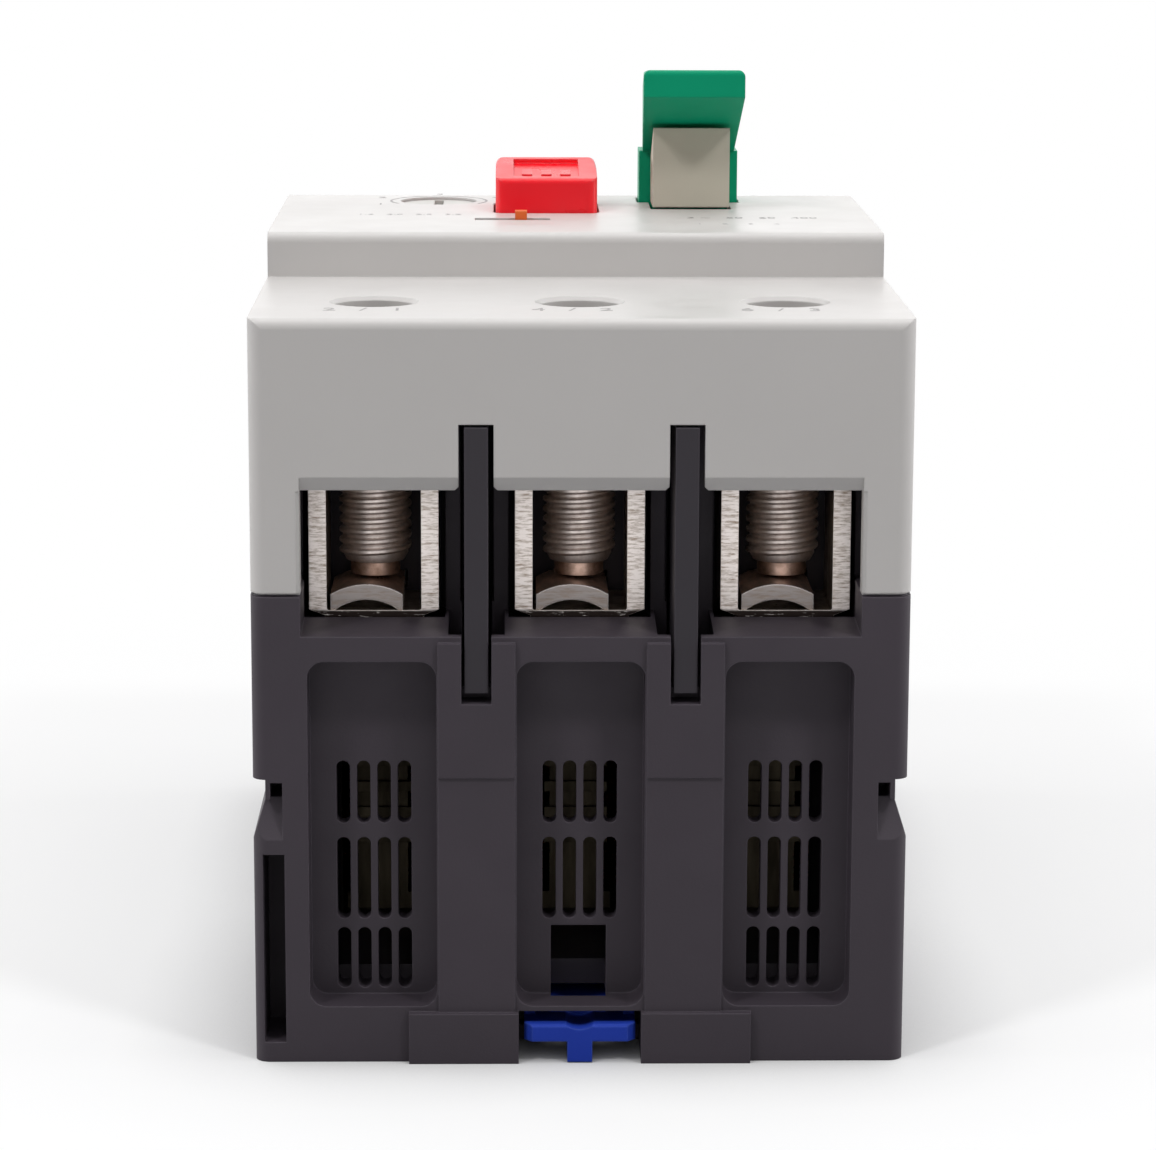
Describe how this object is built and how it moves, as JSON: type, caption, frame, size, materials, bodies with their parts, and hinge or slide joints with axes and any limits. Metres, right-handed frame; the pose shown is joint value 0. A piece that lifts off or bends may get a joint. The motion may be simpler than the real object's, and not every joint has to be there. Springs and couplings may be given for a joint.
{
  "type": "motor protection breaker",
  "caption": "Three-pole push-button motor protection breaker with box terminals, phase barriers, padlock slide and rail clip.",
  "frame": {"origin": "centre of the rail side, under the middle of the housing", "axes": "+X across the poles, to the right seen from the load end; +Y from the load end to the line end; +Z from the rail side to the front panel"},
  "size_m": [0.07, 0.1218, 0.1027],
  "materials": {
    "base_plastic": "fine-grained moulded polyamide, dark grey",
    "cover_plastic": "fine-grained moulded plastic, light grey",
    "green_plastic": "satin moulded plastic, green",
    "red_plastic": "satin moulded plastic, red",
    "slide_plastic": "moulded plastic, warm grey",
    "orange_plastic": "moulded plastic, orange",
    "blue_plastic": "satin moulded plastic, blue",
    "cage_steel": "zinc-plated steel strip with sheared edges",
    "screw_steel": "zinc-plated steel",
    "strap_copper": "tin-plated copper",
    "spring_steel": "spring steel",
    "copper": "bare copper",
    "fibre": "insulating fibre and bobbin plastic",
    "phenolic": "moulded thermoset"
  },
  "bodies": {
    "housing": {"base_housing": "base_plastic", "front_cover": "cover_plastic", "housing_screws": "screw_steel", "rail_clip_spring": "spring_steel", "start_spring": "spring_steel", "stop_spring": "spring_steel", "mechanism_frame": "cage_steel", "load_cage_1": "cage_steel", "load_cage_2": "cage_steel", "load_cage_3": "cage_steel", "load_strap_1": "strap_copper", "load_strap_2": "strap_copper", "load_strap_3": "strap_copper", "load_barrier_1": "base_plastic", "load_barrier_2": "base_plastic", "line_cage_1": "cage_steel", "line_cage_2": "cage_steel", "line_cage_3": "cage_steel", "line_strap_1": "strap_copper", "line_strap_2": "strap_copper", "line_strap_3": "strap_copper", "line_barrier_1": "base_plastic", "line_barrier_2": "base_plastic", "trip_coil_1": "copper", "trip_coil_2": "copper", "trip_coil_3": "copper", "bimetal_1": "strap_copper", "bimetal_2": "strap_copper", "bimetal_3": "strap_copper", "arc_chute_1": "cage_steel", "arc_chute_2": "cage_steel", "arc_chute_3": "cage_steel"},
    "start_button": {"start_button": "green_plastic"},
    "padlock_slide": {"padlock_slide": "slide_plastic"},
    "stop_button": {"stop_button": "red_plastic"},
    "test_slider": {"test_slider": "orange_plastic"},
    "setting_dial": {"setting_dial": "cover_plastic"},
    "rail_clip": {"rail_clip": "blue_plastic"},
    "drive_lever": {"drive_lever": "cage_steel"},
    "latch_lever": {"latch_lever": "cage_steel"},
    "trip_bar": {"trip_bar": "fibre"},
    "contact_carrier": {"contact_carrier": "phenolic", "contact_springs": "spring_steel", "contact_bridge_1": "copper", "contact_bridge_2": "copper", "contact_bridge_3": "copper"},
    "load_pad_1": {"load_pad_1": "screw_steel"},
    "load_screw_1": {"load_screw_1": "screw_steel"},
    "load_pad_2": {"load_pad_2": "screw_steel"},
    "load_screw_2": {"load_screw_2": "screw_steel"},
    "load_pad_3": {"load_pad_3": "screw_steel"},
    "load_screw_3": {"load_screw_3": "screw_steel"},
    "line_pad_1": {"line_pad_1": "screw_steel"},
    "line_screw_1": {"line_screw_1": "screw_steel"},
    "line_pad_2": {"line_pad_2": "screw_steel"},
    "line_screw_2": {"line_screw_2": "screw_steel"},
    "line_pad_3": {"line_pad_3": "screw_steel"},
    "line_screw_3": {"line_screw_3": "screw_steel"}
  },
  "joints": [
    {"name": "start_push", "type": "slide", "parent": "housing", "child": "start_button", "axis": [0, 0, -1], "range_m": [0, 0.006], "stiffness_N_per_m": 200, "springref_m": -0.005, "deforming": ["start_spring"]},
    {"name": "padlock_pull", "type": "slide", "parent": "start_button", "child": "padlock_slide", "axis": [0, 1, 0], "range_m": [-0.004, 0]},
    {"name": "stop_push", "type": "slide", "parent": "housing", "child": "stop_button", "axis": [0, 0, -1], "range_m": [0, 0.0035], "stiffness_N_per_m": 250, "springref_m": -0.003, "deforming": ["stop_spring"]},
    {"name": "test_slide", "type": "slide", "parent": "housing", "child": "test_slider", "axis": [-1, 0, 0], "range_m": [0, 0.004], "stiffness_N_per_m": 60, "springref_m": -0.002},
    {"name": "dial_turn", "type": "hinge", "parent": "housing", "child": "setting_dial", "pos_m": [-0.0162, 0.0144, 0.0857], "axis": [0, 0, 1], "range_deg": [-120, 120]},
    {"name": "clip_pull", "type": "slide", "parent": "housing", "child": "rail_clip", "axis": [0, -1, 0], "range_m": [0, 0.0035], "stiffness_N_per_m": 400, "springref_m": -0.003, "deforming": ["rail_clip_spring"]},
    {"name": "drive_turn", "type": "hinge", "parent": "housing", "child": "drive_lever", "pos_m": [0.0164, -0.016, 0.064], "axis": [-1, 0, 0], "range_deg": [0, 11]},
    {"name": "contacts_move", "type": "slide", "parent": "housing", "child": "contact_carrier", "axis": [0, 0, -1], "range_m": [0, 0.0038]},
    {"name": "latch_turn", "type": "hinge", "parent": "housing", "child": "latch_lever", "pos_m": [-0.0031, -0.008, 0.064], "axis": [-1, 0, 0], "range_deg": [0, 15]},
    {"name": "trip_turn", "type": "hinge", "parent": "housing", "child": "trip_bar", "pos_m": [0, -0.023, 0.058], "axis": [1, 0, 0], "range_deg": [0, 8.2]},
    {"name": "load_pad_1_lift", "type": "slide", "parent": "housing", "child": "load_pad_1", "axis": [0, 0, 1], "range_m": [0, 0.0075]},
    {"name": "load_screw_1_turn", "type": "hinge", "parent": "load_pad_1", "child": "load_screw_1", "pos_m": [-0.0222, -0.0449, 0.05255], "axis": [0, 0, 1], "range_deg": [0, 2160.5]},
    {"name": "load_pad_2_lift", "type": "slide", "parent": "housing", "child": "load_pad_2", "axis": [0, 0, 1], "range_m": [0, 0.0075]},
    {"name": "load_screw_2_turn", "type": "hinge", "parent": "load_pad_2", "child": "load_screw_2", "pos_m": [0, -0.0449, 0.05255], "axis": [0, 0, 1], "range_deg": [0, 2160.5]},
    {"name": "load_pad_3_lift", "type": "slide", "parent": "housing", "child": "load_pad_3", "axis": [0, 0, 1], "range_m": [0, 0.0075]},
    {"name": "load_screw_3_turn", "type": "hinge", "parent": "load_pad_3", "child": "load_screw_3", "pos_m": [0.0222, -0.0449, 0.05255], "axis": [0, 0, 1], "range_deg": [0, 2160.5]},
    {"name": "line_pad_1_lift", "type": "slide", "parent": "housing", "child": "line_pad_1", "axis": [0, 0, 1], "range_m": [0, 0.0075]},
    {"name": "line_screw_1_turn", "type": "hinge", "parent": "line_pad_1", "child": "line_screw_1", "pos_m": [-0.0222, 0.0449, 0.05255], "axis": [0, 0, 1], "range_deg": [0, 2160.5]},
    {"name": "line_pad_2_lift", "type": "slide", "parent": "housing", "child": "line_pad_2", "axis": [0, 0, 1], "range_m": [0, 0.0075]},
    {"name": "line_screw_2_turn", "type": "hinge", "parent": "line_pad_2", "child": "line_screw_2", "pos_m": [0, 0.0449, 0.05255], "axis": [0, 0, 1], "range_deg": [0, 2160.5]},
    {"name": "line_pad_3_lift", "type": "slide", "parent": "housing", "child": "line_pad_3", "axis": [0, 0, 1], "range_m": [0, 0.0075]},
    {"name": "line_screw_3_turn", "type": "hinge", "parent": "line_pad_3", "child": "line_screw_3", "pos_m": [0.0222, 0.0449, 0.05255], "axis": [0, 0, 1], "range_deg": [0, 2160.5]}
  ],
  "couplings": [
    {"joint": "drive_turn", "follows": "start_push", "rad_per_m": 31},
    {"joint": "contacts_move", "follows": "start_push", "ratio": 0.62},
    {"joint": "latch_turn", "follows": "stop_push", "rad_per_m": 72.7},
    {"joint": "trip_turn", "follows": "test_slide", "rad_per_m": 34.9},
    {"joint": "load_screw_1_turn", "follows": "load_pad_1_lift", "rad_per_m": 5026.5},
    {"joint": "load_screw_2_turn", "follows": "load_pad_2_lift", "rad_per_m": 5026.5},
    {"joint": "load_screw_3_turn", "follows": "load_pad_3_lift", "rad_per_m": 5026.5},
    {"joint": "line_screw_1_turn", "follows": "line_pad_1_lift", "rad_per_m": 5026.5},
    {"joint": "line_screw_2_turn", "follows": "line_pad_2_lift", "rad_per_m": 5026.5},
    {"joint": "line_screw_3_turn", "follows": "line_pad_3_lift", "rad_per_m": 5026.5}
  ]
}
